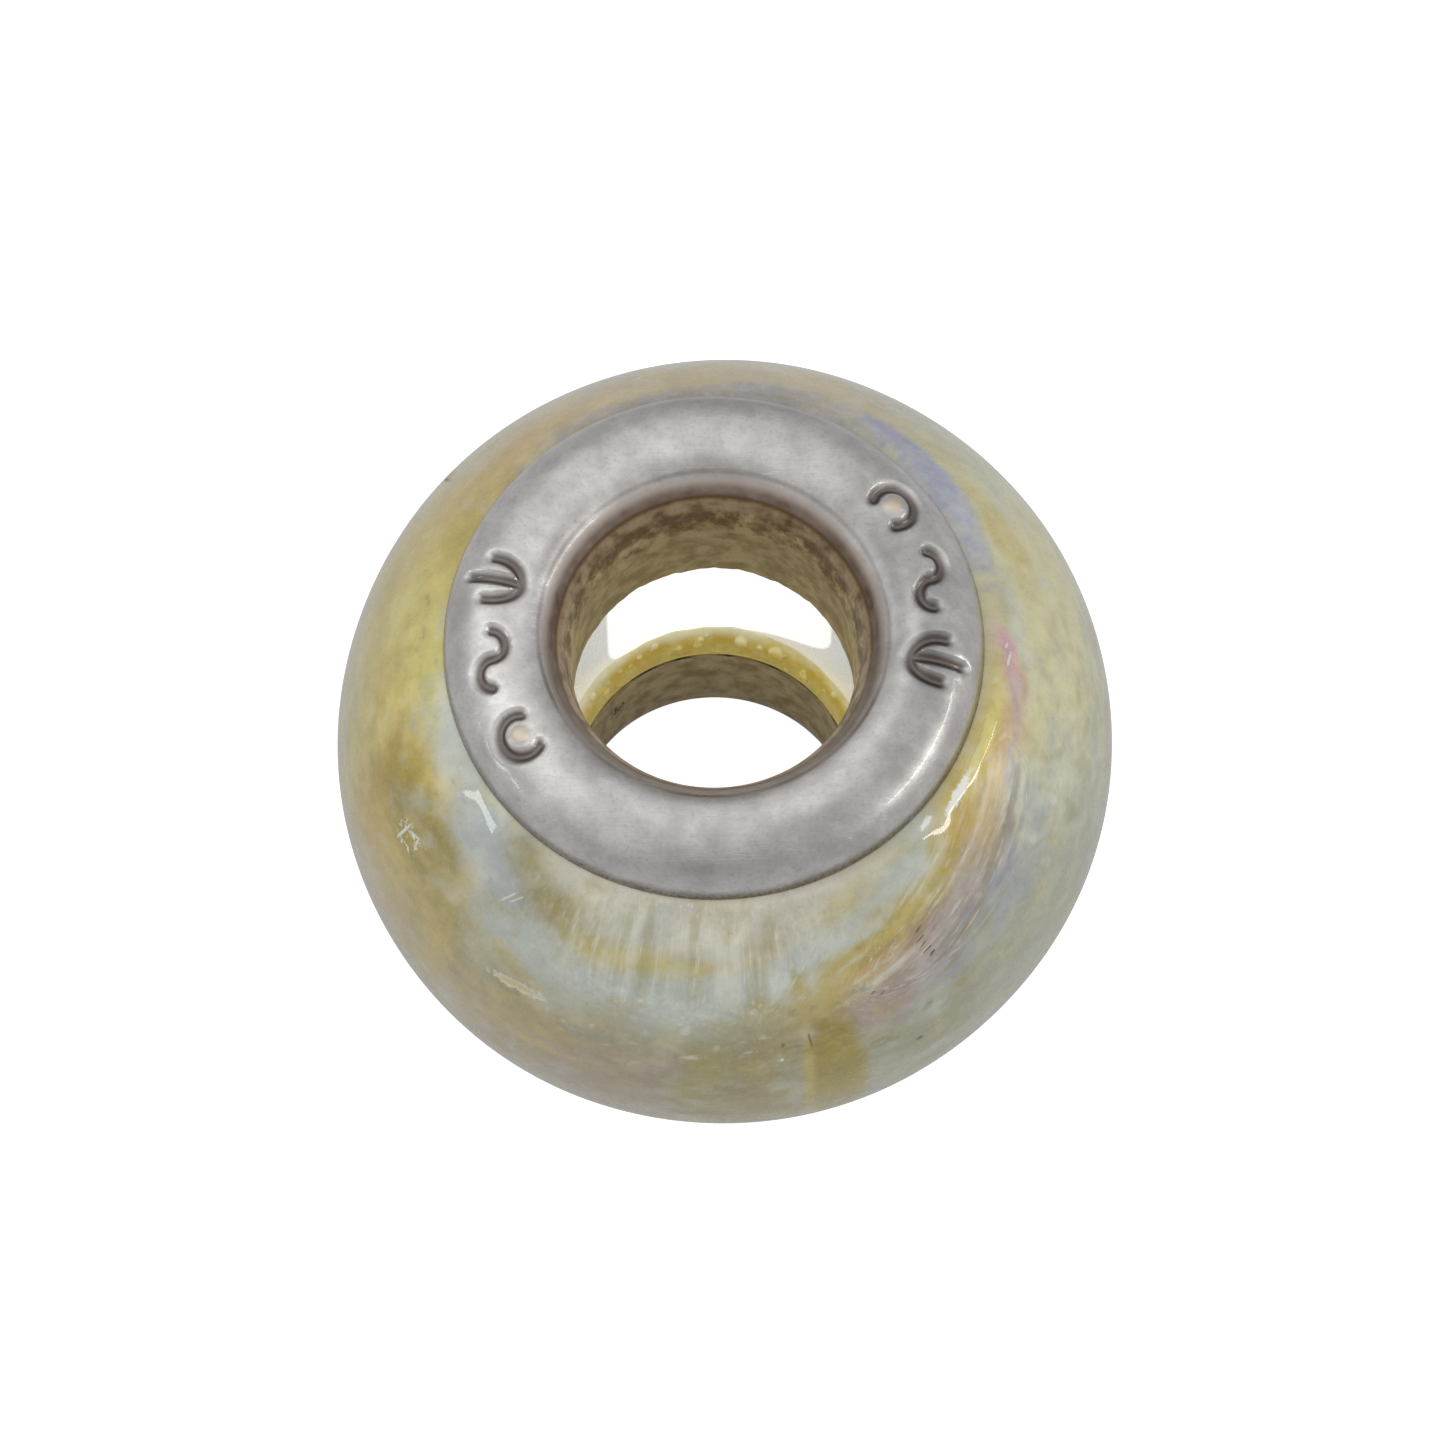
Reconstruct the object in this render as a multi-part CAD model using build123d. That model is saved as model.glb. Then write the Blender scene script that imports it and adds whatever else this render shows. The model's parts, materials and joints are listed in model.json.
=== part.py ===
"""A charm bead for a bracelet: a glass ring with a silver grommet in each end.

The bead lies on its back grommet. The hole runs along +Z, +Y is away from the viewer and +X is to
the right. The origin is under the middle of the glass, on the surface that the bead lies on.
All sizes are in millimetres.
"""

from build123d import *
from math import asin, degrees, sqrt
import os

# The glass ring
glass_dia = 14.0            # across the widest part
side_round = 5.8            # radius of the bulging side, seen in section
glass_height = 9.0          # between the two ground ends
shoulder_round = 0.3        # where a ground end meets the side
hole_offset = 0.19          # the hole is this far to the left of the middle of the glass

# The silver grommets
passage_dia = 5.0           # the clear way through, for the bracelet
tube_wall = 0.25
tube_reach = 2.45           # from the glass's end to the end of the tube inside it
dome_dia = 9.46             # outside edge of the domed flange
dome_rise = 0.88            # from the glass's end to the crest of the dome
dome_wall = 0.42            # thickness of the silver over the hollow under the dome
crease_rise = 0.635         # the fold between the dome and the rolled lip
crest_share = 0.4           # how far across the dome its crest lies, from the crease to the edge
lip_width = 0.26            # from the crease to the lip's inner edge
lip_rise = 0.2              # height of the lip's inner edge
flare_width = 0.3           # how much wider the tube is at the lip
flare_depth = 0.6           # how far down that flare goes

# How the pieces fit
tube_clearance = 0.05       # between a tube and the hole in the glass
seat_gap = 0.02             # between a flange and the glass's end, and between the glue and the tube
glue_clearance = 0.03       # between the glue and the wall of the hole

# The band of old glue
glue_length = 0.8           # along the hole
glue_thickness = 0.24       # at the tube's end

# The punched marks on the front dome
group_azimuths = (13.7, 188.7)   # middle of each group, in degrees from +X towards +Y
mark_pitch = 22.4                # degrees from one mark to the next
stroke_width = 0.2
groove_depth = 0.15
curl_radius = 0.38               # centre line of the open ring round a pellet
curl_sweep = 245.0
wave_radius = 0.27               # centre line of each half of the wave
wave_sweep = 165.0
sprig_length = 0.95              # stem of the three-leaved sprig
sprig_spread = 0.4               # how far a side leaf's tip lies from the stem
sprig_leaf_rise = 0.62           # height of a side leaf's tip above the stem's foot
sprig_leaf_slope = 0.2           # how steeply a side leaf leaves the stem, as rise over run

# Worked out from the sizes above
passage_radius = passage_dia / 2
tube_radius = passage_radius + tube_wall
glass_hole_radius = tube_radius + tube_clearance
lip_radius = passage_radius + flare_width
crease_radius = lip_radius + lip_width
dome_radius = dome_dia / 2
crest_radius = crease_radius + crest_share * (dome_radius - crease_radius)
mark_radius = (crease_radius + dome_radius) / 2
back_end = dome_rise
front_end = back_end + glass_height


def arc_radius(across, drop):
    """Radius of the arc that starts level and drops so far over that distance across."""
    return (across**2 + drop**2) / (2 * drop)


def turned(*section):
    """Spin a closed section, drawn as (radius, height), about the hole."""
    return revolve(Plane.XZ * make_face(section), Axis.Z)


def dome_line(shift=0.0):
    """The dome in section, moved out by a shift: one arc from its edge to the crest, one to the crease."""
    outer = arc_radius(dome_radius - crest_radius, dome_rise - seat_gap)
    inner = arc_radius(crest_radius - crease_radius, dome_rise - crease_rise)
    edge_angle = degrees(asin((seat_gap - dome_rise + outer) / outer))
    crease_angle = 180 - degrees(asin((crease_rise - dome_rise + inner) / inner))
    return [
        CenterArc((crest_radius, dome_rise - outer), outer + shift, edge_angle, 90 - edge_angle),
        CenterArc((crest_radius, dome_rise - inner), inner + shift, 90, crease_angle - 90),
    ]


def hollow_line():
    """The hollow under the dome in section, from its outer foot over to its inner foot."""
    inner_foot = tube_radius + dome_wall
    ceiling = dome_rise - dome_wall
    inner_height = crease_rise - dome_wall
    outer = arc_radius(dome_radius - crest_radius, dome_rise - seat_gap) - dome_wall
    outer_angle = degrees(asin((seat_gap - ceiling + outer) / outer))
    inner = arc_radius(crest_radius - inner_foot, ceiling - inner_height)
    inner_sweep = degrees(asin((crest_radius - inner_foot) / inner))
    return [
        CenterArc((crest_radius, ceiling - outer), outer, outer_angle, 90 - outer_angle),
        CenterArc((crest_radius, ceiling - inner), inner, 90, inner_sweep),
        Line((inner_foot, inner_height), (inner_foot, seat_gap)),
    ]


def grommet():
    """One silver core, with the end of the glass at height 0 and the tube going down."""
    dome = dome_line()
    hollow = hollow_line()
    roll = arc_radius(crease_rise - lip_rise, lip_width)
    roll_sweep = degrees(asin((crease_rise - lip_rise) / roll))
    lip = CenterArc((lip_radius + roll, lip_rise), roll, 180 - roll_sweep, roll_sweep)
    bore = Polyline(
        (lip_radius, lip_rise),
        (passage_radius, lip_rise - flare_depth),
        (passage_radius, -tube_reach),
        (tube_radius, -tube_reach),
        (tube_radius, seat_gap),
        hollow[-1] @ 1,
    )
    foot = Line(hollow[0] @ 0, dome[0] @ 0)
    return turned(*dome, lip, bore, *hollow, foot)


def groove_layer():
    """The skin of the dome, as deep as the punch goes and a little proud of the silver."""
    low = dome_line(-groove_depth)
    high = dome_line(groove_depth)
    return turned(*low, *high, Line(low[0] @ 0, high[0] @ 0), Line(low[1] @ 1, high[1] @ 1))


def curl():
    """A ring, open towards the hole, round a pellet that the punch leaves standing."""
    return SlotArc(CenterArc((0, 0), curl_radius, 90 - curl_sweep / 2, curl_sweep), stroke_width)


def wave():
    """Two arcs, one opening each way."""
    left = CenterArc((-wave_radius, 0), wave_radius, 0, wave_sweep)
    right = CenterArc((wave_radius, 0), wave_radius, 180, wave_sweep)
    return SlotArc(left, stroke_width) + SlotArc(right, stroke_width)


def sprig():
    """A straight stem along the radius with a curved leaf on each side."""
    foot = (0, -sprig_length / 2)
    drawn = SlotCenterToCenter(sprig_length, stroke_width, rotation=90)
    for side in (-1, 1):
        tip = (side * sprig_spread, sprig_leaf_rise - sprig_length / 2)
        drawn += SlotArc(TangentArc(foot, tip, tangent=(side, sprig_leaf_slope)), stroke_width)
    return drawn


def marks():
    """Two groups of three marks, upright as seen from the hole."""
    placed = []
    for group in group_azimuths:
        for step, mark in zip((1, 0, -1), (curl, wave, sprig)):
            azimuth = group + step * mark_pitch
            placed.append(Rot(0, 0, azimuth - 90) * Pos(0, mark_radius) * mark())
    return placed


def front_grommet():
    """The grommet that faces the viewer, with the marks punched into its dome."""
    layer = groove_layer()
    punches = [extrude(mark, dome_rise + groove_depth) & layer for mark in marks()]
    return grommet() - punches


def glass():
    """The bulging ring, ground flat at both ends, with the hole a little off its middle."""
    middle_radius = glass_dia / 2 - side_round
    half_height = glass_height / 2
    end_radius = middle_radius + sqrt(side_round**2 - half_height**2)
    lean = degrees(asin(half_height / side_round))
    section = [
        Line((0, -half_height), (end_radius, -half_height)),
        CenterArc((middle_radius, 0), side_round, -lean, 2 * lean),
        Line((end_radius, half_height), (0, half_height)),
        Line((0, half_height), (0, -half_height)),
    ]
    body = turned(*section)
    rims = body.edges().filter_by(GeomType.CIRCLE).group_by(Axis.Z)
    body = fillet(rims[0] + rims[-1], shoulder_round)
    return body - Pos(-hole_offset, 0) * Cylinder(glass_hole_radius, 2 * glass_height)


def glue():
    """The ooze beyond the back tube: thick at the tube's end, then bulging down to nothing on the glass."""
    outer = glass_hole_radius - glue_clearance
    inner = outer - glue_thickness
    return turned(
        Line((inner, 0), (outer, 0)),
        Line((outer, 0), (outer, glue_length)),
        TangentArc((inner, 0), (outer, glue_length), tangent=(0, 1)),
    )


os.makedirs("parts", exist_ok=True)
hole = Pos(-hole_offset, 0)
export_step(Pos(0, 0, back_end + glass_height / 2) * glass(), "parts/glass_bead.step")
export_step(hole * Pos(0, 0, front_end) * front_grommet(), "parts/core_front.step")
export_step(hole * Pos(0, 0, back_end) * Rot(180, 0, 0) * grommet(), "parts/core_back.step")
export_step(hole * Pos(0, 0, back_end + tube_reach + seat_gap) * glue(), "parts/glue_band.step")
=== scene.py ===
# %% [markdown]
# # A glass charm bead with silver ends
#
# The bead is a thick ring of lustre glass, about 14 mm across, with a silver grommet pressed into
# each end and a wide hole for a bracelet. The solids of the frame already have the true sizes.
# Here each of them gets a finer skin on the same sizes: silver that is hand worn and punched, glass
# with drifting colour, and old yellow glue. Metres are used throughout, and a size that is easier
# to read in millimetres is multiplied by mm.

# %% Load the frame
import bpy
import json
import math
import numpy as np
from mathutils import Matrix, Vector


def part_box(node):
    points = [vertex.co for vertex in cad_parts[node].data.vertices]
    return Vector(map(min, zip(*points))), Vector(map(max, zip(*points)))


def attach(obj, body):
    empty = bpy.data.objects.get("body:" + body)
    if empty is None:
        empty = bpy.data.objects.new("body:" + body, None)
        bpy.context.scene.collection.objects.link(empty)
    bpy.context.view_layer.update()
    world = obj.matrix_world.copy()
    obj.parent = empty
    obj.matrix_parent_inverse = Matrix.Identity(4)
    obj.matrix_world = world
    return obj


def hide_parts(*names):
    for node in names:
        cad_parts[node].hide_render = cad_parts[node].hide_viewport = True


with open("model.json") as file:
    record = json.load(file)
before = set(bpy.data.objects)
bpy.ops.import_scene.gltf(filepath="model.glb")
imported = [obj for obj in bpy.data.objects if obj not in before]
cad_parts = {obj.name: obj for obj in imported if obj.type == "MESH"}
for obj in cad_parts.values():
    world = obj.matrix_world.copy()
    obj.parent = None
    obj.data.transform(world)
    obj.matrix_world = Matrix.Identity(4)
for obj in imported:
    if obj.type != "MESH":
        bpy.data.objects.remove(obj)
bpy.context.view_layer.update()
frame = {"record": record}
mm = 0.001

# %% [markdown]
# ## Sizes
#
# Whatever the frame can tell is read from it: where the glass ends, how wide the dome is, where the
# hole runs. Only the sizes that hide inside a section, such as the radius of the bulging side, are
# written here again.

# %% Read the sizes
glass_low, glass_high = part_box("glass_bead")
front_low, front_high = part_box("core_front")
glue_low, glue_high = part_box("glue_band")

glass_radius = (glass_high.x - glass_low.x) / 2
middle_height = (glass_high.z + glass_low.z) / 2
half_height = (glass_high.z - glass_low.z) / 2
hole_x = (front_high.x + front_low.x) / 2
dome_radius = (front_high.x - front_low.x) / 2
dome_rise = front_high.z - glass_high.z
tube_reach = glass_high.z - front_low.z
passage_radius = frame["record"]["mounts"][0]["dims"]["r_mm"] * mm

side_round = 5.8 * mm
shoulder_round = 0.3 * mm
tube_wall = 0.25 * mm
tube_clearance = 0.05 * mm
seat_gap = 0.02 * mm
lip_radius = passage_radius + 0.3 * mm
crease_radius = lip_radius + 0.26 * mm
crease_rise = 0.635 * mm
lip_rise = 0.2 * mm
flare_depth = 1.1 * mm
tube_radius = passage_radius + tube_wall
glass_hole_radius = tube_radius + tube_clearance
crest_radius = crease_radius + 0.4 * (dome_radius - crease_radius)
middle_radius = glass_radius - side_round
bead_middle = Vector((0, 0, middle_height))
print(f"glass {2 * glass_radius / mm:.2f} mm across, dome {2 * dome_radius / mm:.2f} mm")

# %% [markdown]
# ## Spinning a section
#
# Every piece of the bead is a ring, so each could be a section with a Screw or a Spin modifier on
# it. A ring of points in plain arrays is used instead, because the pieces are not perfectly round:
# with the points in an array, a nudge of each point by its place round the ring costs one line.

# %% Helpers for sections and rings
def mix(first, second, share):
    """From the first value to the second, by a share from 0 to 1."""
    return first * (1 - share) + second * share


def arc(centre, radius, start, end, steps):
    """Points (radius, height) along an arc, angles in degrees."""
    angles = np.radians(np.linspace(start, end, steps))
    return np.stack([centre[0] + radius * np.cos(angles), centre[1] + radius * np.sin(angles)], 1)


def line(start, end, steps):
    """Points along a straight stretch of a section, without its first one."""
    return mix(np.array(start), np.array(end), np.linspace(0, 1, steps + 1)[1:, None])


def steps_round(columns):
    """The azimuths of evenly spaced columns round a ring, in radians."""
    return np.linspace(0, 2 * np.pi, columns, endpoint=False)


def spin(section, azimuths, centre_x=0.0):
    """The grid of points of a section spun about an upright axis: section rows, azimuth columns."""
    x = centre_x + section[:, :1] * np.cos(azimuths)
    y = section[:, :1] * np.sin(azimuths)
    z = np.broadcast_to(section[:, 1:], x.shape)
    return np.stack([x, y, z], -1)


def ring_mesh(name, grid, sharp_angle):
    """A closed ring through a grid of points, joined up along both of its directions."""
    rows, columns = grid.shape[:2]
    index = np.arange(rows * columns).reshape(rows, columns)
    right = np.roll(index, -1, 1)
    below = np.roll(index, -1, 0)
    quads = np.stack([index, right, np.roll(below, -1, 1), below], -1).reshape(-1, 4)
    mesh = bpy.data.meshes.new(name)
    mesh.from_pydata(grid.reshape(-1, 3).tolist(), [], quads.tolist())
    mesh.shade_smooth()
    mesh.set_sharp_from_angle(angle=math.radians(sharp_angle))
    piece = bpy.data.objects.new(name, mesh)
    bpy.context.scene.collection.objects.link(piece)
    print(f"{name}: {2 * len(quads)} triangles")
    return piece


# %% [markdown]
# One more helper stores a value on each point, where a material can read it. The others wobble a
# ring, point along an azimuth and a latitude, and tell how far a point is from a spot.

# %% Helpers for points
def store(piece, name, values, kind="FLOAT"):
    """Stores a value for each point, for a material to read."""
    field = {"FLOAT": "value", "FLOAT_VECTOR": "vector", "FLOAT_COLOR": "color"}[kind]
    attribute = piece.data.attributes.new(name, kind, "POINT")
    attribute.data.foreach_set(field, values.astype(np.float32).ravel())


def ripple(azimuths, waves):
    """A gentle hand-made wobble round the ring: a sum of (size, count, start) waves."""
    return sum(size * np.sin(count * azimuths + start) for size, count, start in waves)


def compass(azimuth, latitude):
    """Unit vectors towards azimuths and latitudes in degrees."""
    turn = np.radians(azimuth)
    lift = np.radians(latitude)
    parts = (np.cos(lift) * np.cos(turn), np.cos(lift) * np.sin(turn), np.sin(lift))
    return np.stack(np.broadcast_arrays(*parts), -1)


def turn_gap(azimuth, at):
    """Degrees from one azimuth to another, the short way round."""
    return (azimuth - at + 180) % 360 - 180


def gap_squared(across, along, wide, tall):
    """The squared distance from the middle of a spot, which is 1 on the ellipse of its half sizes."""
    return (across / wide) ** 2 + (along / tall) ** 2


def soft_patches(azimuth, latitude, patches):
    """The sum of soft patches on each point."""
    return sum(
        strength * np.exp(-gap_squared(turn_gap(azimuth, at), latitude - up, wide, tall))
        for at, up, wide, tall, strength in patches
    )


# %% [markdown]
# ## The glass
#
# The glass was wound hot on a rod and pressed to shape, so its outside is a little uneven and its
# hole is not quite in the middle. Its section is drawn in arcs, with more points above than below,
# where nobody looks closely. Slow waves make it wobble most at its widest and not at all at its
# ends, where the silver has to fit.

# %% Shape the outside of the glass
glass_azimuths = steps_round(560)
shoulder_height = half_height - shoulder_round
lean = math.degrees(math.asin(shoulder_height / (side_round - shoulder_round)))
shoulder_centre = middle_radius + (side_round - shoulder_round) * math.cos(math.radians(lean))
fine_from = -10
outside = np.concatenate([
    arc((shoulder_centre, -shoulder_height), shoulder_round, -90, -lean, 7)[:-1],
    arc((middle_radius, 0), side_round, -lean, fine_from, 34)[:-1],
    arc((middle_radius, 0), side_round, fine_from, lean, 104),
    arc((shoulder_centre, shoulder_height), shoulder_round, lean, 90, 7)[1:],
])
outside_grid = spin(outside, glass_azimuths)

glass_wobble = [(0.018 * mm, 2, 0.6), (0.012 * mm, 3, 2.1), (0.006 * mm, 7, 4.0)]
waist_loss = 0.002
side_share = np.cos(np.pi / 2 * outside[:, 1:] / half_height)
swell = 1 + side_share * (ripple(glass_azimuths, glass_wobble) / glass_radius - waist_loss)
outside_grid[..., :2] *= swell[..., None]
print(f"the outside of the glass: {outside_grid.shape[0]} rows of {outside_grid.shape[1]} points")

# %% [markdown]
# The nicks are real dents in the mesh, each a soft dimple at an azimuth and a latitude on the
# bulging side. Near the flange, on the right and a little on the left, the skin is lumpy, which
# breaks a lamp's reflection into splashes. Sculpting could make both, but numbers are easier to move.
# Not all of these are set by hand: a search program picked the first swelling, the height of the
# lumps in the second and the three waves of the lumps.

# %% Press the nicks in and the swellings out
# azimuth, latitude, half width, half height (degrees), depth
nicks = [(140, 24, 1.2, 3.0, 0.07 * mm), (236, 22, 4.2, 1.3, 0.03 * mm), (207, 30, 1.6, 1.6, 0.02 * mm)]
swellings = [
    # azimuth, latitude, half width, half height (degrees), height of the swelling, height of its lumps
    (327, 46, 17.5, 8, 0.026 * mm, 0.0),
    (325, 48, 16, 7, 0.0, 0.0035 * mm),
    (208, 48, 10, 7, 0.0, 0.0022 * mm),
]
azimuth_grid = np.degrees(np.broadcast_to(glass_azimuths, outside_grid.shape[:2]))
latitude_grid = np.degrees(np.arctan2(outside[:, 1], outside[:, 0] - middle_radius))[:, None]
lumps = sum(
    np.sin(np.radians(count * azimuth_grid + slope * latitude_grid + start))
    for count, slope, start in ((25, 13, 226), (27, -36, 346), (32, 44, 66))
)
raised = np.zeros(azimuth_grid.shape)
for at, up, wide, tall, depth in nicks:
    raised -= depth * np.exp(-gap_squared(azimuth_grid - at, latitude_grid - up, wide, tall) ** 2)
for at, up, wide, tall, high, lumpy in swellings:
    spread = np.exp(-gap_squared(azimuth_grid - at, latitude_grid - up, wide, tall))
    raised += spread * (high + lumpy * lumps)
outside_grid += compass(azimuth_grid, latitude_grid) * raised[..., None]
print(f"nicks down to {-raised.min() / mm:.3f} mm, swellings up to {raised.max() / mm:.3f} mm")

# %% [markdown]
# The outside is spun about the middle of the bead and the hole about its own axis. The two flats
# between them join circle to circle, so the ring closes although its circles don't share a middle.

# %% Close the glass with its hole
hole_wall = line((glass_hole_radius, half_height), (glass_hole_radius, -half_height), 12)
hole_wall = np.concatenate([[(glass_hole_radius, half_height)], hole_wall])
hole_grid = spin(hole_wall, glass_azimuths, hole_x)
land_steps = np.linspace(0, 1, 8)[1:-1, None, None]
top_land = mix(outside_grid[-1], hole_grid[0], land_steps)
bottom_land = mix(hole_grid[-1], outside_grid[0], land_steps)
glass_grid = np.concatenate([outside_grid, top_land, hole_grid, bottom_land])
glass_grid[..., 2] += middle_height
glass = ring_mesh("glass_ring", glass_grid, sharp_angle=60)

# %% [markdown]
# ## The silver grommets
#
# A grommet is one pressed piece: a domed flange over the end of the glass, a rolled lip round the
# hole, and a short tube that goes down inside. Its section is the solid's, in arcs, but the mouth
# flares deeper, and the hollow under the dome is left out, since nothing can see it. Wear has
# rounded the fold between dome and lip, so its points are averaged with their neighbours.

# %% Draw the grommet's section
def level_arc(crest, foot, steps):
    """An arc that starts level at the crest and ends at the foot."""
    across = abs(foot[0] - crest[0])
    drop = crest[1] - foot[1]
    radius = (across**2 + drop**2) / (2 * drop)
    sweep = math.degrees(math.asin(across / radius))
    side = math.copysign(1, foot[0] - crest[0])
    return arc((crest[0], crest[1] - radius), radius, 90, 90 - side * sweep, steps)


def grommet_section():
    """The section from the dome's edge over the crest and the lip, down the tube and back outside."""
    crest = (crest_radius, dome_rise)
    over = level_arc(crest, (dome_radius, seat_gap), 40)[::-1]
    under = level_arc(crest, (crease_radius, crease_rise), 20)[1:]
    wide = lip_radius - crease_radius
    tall = crease_rise - lip_rise
    roll = (wide**2 + tall**2) / (2 * -wide)
    roll_sweep = math.degrees(math.asin(tall / roll))
    lip = arc((lip_radius + roll, lip_rise), roll, 180 - roll_sweep, 180, 9)[1:]
    flare_bend = np.linspace(0, np.pi / 2, 9)[1:]
    flare = np.stack([lip_radius - (lip_radius - passage_radius) * np.sin(flare_bend),
                      lip_rise - flare_depth * (1 - np.cos(flare_bend))], 1)
    worn = np.concatenate([over, under, lip, flare])
    wear_passes = 5
    for _ in range(wear_passes):
        worn[12:-2] = (worn[11:-3] + 2 * worn[12:-2] + worn[13:-1]) / 4
    return np.concatenate([
        worn,
        line((passage_radius, lip_rise - flare_depth), (passage_radius, -tube_reach), 16),
        line((passage_radius, -tube_reach), (tube_radius, -tube_reach), 2),
        line((tube_radius, -tube_reach), (tube_radius, seat_gap), 4),
        line((tube_radius, seat_gap), (dome_radius, seat_gap), 4)[:-1],
    ])


section = grommet_section()
on_dome = (section[:, 1] > seat_gap * 1.5) & (section[:, 0] > crease_radius)
print(f"grommet section: {len(section)} points, {on_dome.sum()} of them on the dome")

# %% [markdown]
# ## The punched marks
#
# Each mark was struck with a small punch, which leaves a round-bottomed groove and pushes up a soft
# ridge beside it. The marks are plain ornament, in two groups of three: an open ring round a
# pellet, a wave and a sprig. Each is drawn here as a few short strokes round its own middle.

# %% Draw the strokes
mark_radius = (crease_radius + dome_radius) / 2
group_azimuths = (13.7, 188.7)
mark_pitch = 22.4


def curl_strokes():
    """An open ring."""
    return [arc((0, 0), 0.38 * mm, 90 - 122.5, 90 + 122.5, 40)]


def wave_strokes():
    """Two arcs that open opposite ways."""
    reach = 0.27 * mm
    return [arc((-reach, 0), reach, 0, 165, 24), arc((reach, 0), reach, 180, 345, 24)]


def sprig_strokes():
    """A stem with a curved leaf on each side."""
    foot, tip, spread, rise = -0.475 * mm, 0.475 * mm, 0.4 * mm, 0.62 * mm
    strokes = [np.array([(0, foot), (0, tip)])]
    bend = np.linspace(0, 1, 14)
    for side in (-1, 1):
        strokes.append(np.stack([side * spread * np.sin(bend * np.pi / 2), foot + rise * bend**1.7], 1))
    return strokes


def distance_to(strokes, across, along):
    """How far each point lies from the nearest stretch of the strokes."""
    nearest = np.full(across.shape, 1.0)
    for stroke in strokes:
        for start, end in zip(stroke[:-1], stroke[1:]):
            step = end - start
            share = ((across - start[0]) * step[0] + (along - start[1]) * step[1]) / (step @ step)
            share = np.clip(share, 0, 1)
            gap = np.hypot(across - start[0] - share * step[0], along - start[1] - share * step[1])
            nearest = np.minimum(nearest, gap)
    return nearest


# %% [markdown]
# Cutting such grooves with a Boolean gives sharp walls. Here the distance from every point of the
# dome to the nearest stroke is worked out, and the point goes down inside the groove and up a
# little beside it. How deep it went is kept, because dirt will gather there.

# %% Punch the marks
stroke_half = 0.15 * mm
groove_depth = 0.13 * mm
ridge_height = 0.006 * mm
pellet_radius = 0.19 * mm
pellet_height = 0.05 * mm
mark_reach = 1.2 * mm
front_azimuths = steps_round(840)
front_grid = spin(section, front_azimuths)
x = front_grid[..., 0]
y = front_grid[..., 1]
push = np.zeros(x.shape)
punched = np.zeros(x.shape)
pellets = np.zeros(x.shape)
for group in group_azimuths:
    for step, strokes in zip((1, 0, -1), (curl_strokes(), wave_strokes(), sprig_strokes())):
        turn = math.radians(group + step * mark_pitch - 90)
        across = x * math.cos(turn) + y * math.sin(turn)
        along = y * math.cos(turn) - x * math.sin(turn) - mark_radius
        near = (np.hypot(across, along) < mark_reach) & on_dome[:, None]
        gap = np.full(x.shape, 1.0)
        gap[near] = distance_to(strokes, across[near], along[near])
        groove = np.clip(1 - (gap / stroke_half) ** 2, 0, 1) ** 1.5
        ridge = np.exp(-((gap / stroke_half - 1.5) / 0.5) ** 2)
        push += ridge_height * ridge - groove_depth * groove
        punched = np.maximum(punched, groove)
        if step == 1:
            dome = np.clip(1 - gap_squared(across, along, pellet_radius, pellet_radius), 0, 1) * near
            push += pellet_height * dome
            pellets = np.maximum(pellets, dome)
print(f"{3 * len(group_azimuths)} marks, down to {-push.min() / mm:.3f} mm")

# %% [markdown]
# The wear goes on in the same pass. Years on a bracelet leave the dome with faint flats, so a few
# slow waves of a few hundredths of a millimetre bend its reflections. The tube was cut by hand, and
# its end is ragged.

# %% Wear the front grommet
slope = np.gradient(section, axis=0)
normals = np.stack([-slope[:, 1], slope[:, 0]], 1)
normals /= np.linalg.norm(normals, axis=1, keepdims=True)
crest_row = 40
normals *= np.sign(normals[crest_row, 1])
dent_depth = 0.004 * mm
push += dent_depth * (
    np.sin(5 * front_azimuths + 900 * section[:, :1] + 1.0)
    + np.sin(11 * front_azimuths - 1700 * section[:, 1:] + 2.0)
    + np.sin(3 * front_azimuths + 4.0)
)
front_grid += (push * on_dome[:, None])[..., None] * spin(normals, front_azimuths)
ragged_waves = [(0.02 * mm, 9, 1.0), (0.014 * mm, 23, 2.0), (0.01 * mm, 41, 0.5), (0.008 * mm, 67, 3.0)]
at_end = np.clip((-section[:, 1:] - tube_reach * 0.9) / (tube_reach * 0.1), 0, 1)
front_grid[..., 2] += (0.03 * mm + ripple(front_azimuths, ragged_waves)) * at_end
front_grid += (hole_x, 0, glass_high.z)
front_core = ring_mesh("front_grommet", front_grid, sharp_angle=35)
store(front_core, "punched", punched)
store(front_core, "pellet", pellets)

# %% [markdown]
# The dome's reflections are painted into a tone on each point: soft patches at an azimuth and a
# lean of the surface, each a little lighter or darker, lighter where the dome would mirror bright
# parts of the room and darker where it would mirror dark ones. The light ones are held back softly,
# so that no patch is whiter than silver can be.

# %% Painted reflections on the silver
# azimuth, lean of the surface away from the hole (degrees), half width, half height, strength
painted_reflection_patches = [
    (5, -8, 45, 30, -0.42), (20, -28, 30, 14, -0.3), (195, 5, 26, 20, 0.5), (170, -18, 34, 14, 0.2),
    (315, -24, 34, 13, 0.6), (260, -15, 30, 16, 0.28), (305, 16, 45, 18, -0.42),
    (105, 15, 60, 12, 0.2), (270, 45, 30, 12, -0.2), (90, 45, 25, 12, -0.35),
    (300, -18, 35, 12, 0.32), (180, 24, 20, 14, 0.25), (0, -15, 15, 10, 0.42),
    (300, 0, 20, 10, 0.2), (255, 15, 30, 10, -0.15), (90, 60, 25, 14, -0.2),
    (12, -36, 25, 8, 0.5), (150, -30, 14, 8, -0.3), (270, -34, 34, 8, -0.25),
]
lightest = 0.36
lean_angle = np.degrees(np.arctan2(normals[:, :1], normals[:, 1:]))
painted_reflection_tone = soft_patches(np.degrees(front_azimuths)[None], lean_angle, painted_reflection_patches)
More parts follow.
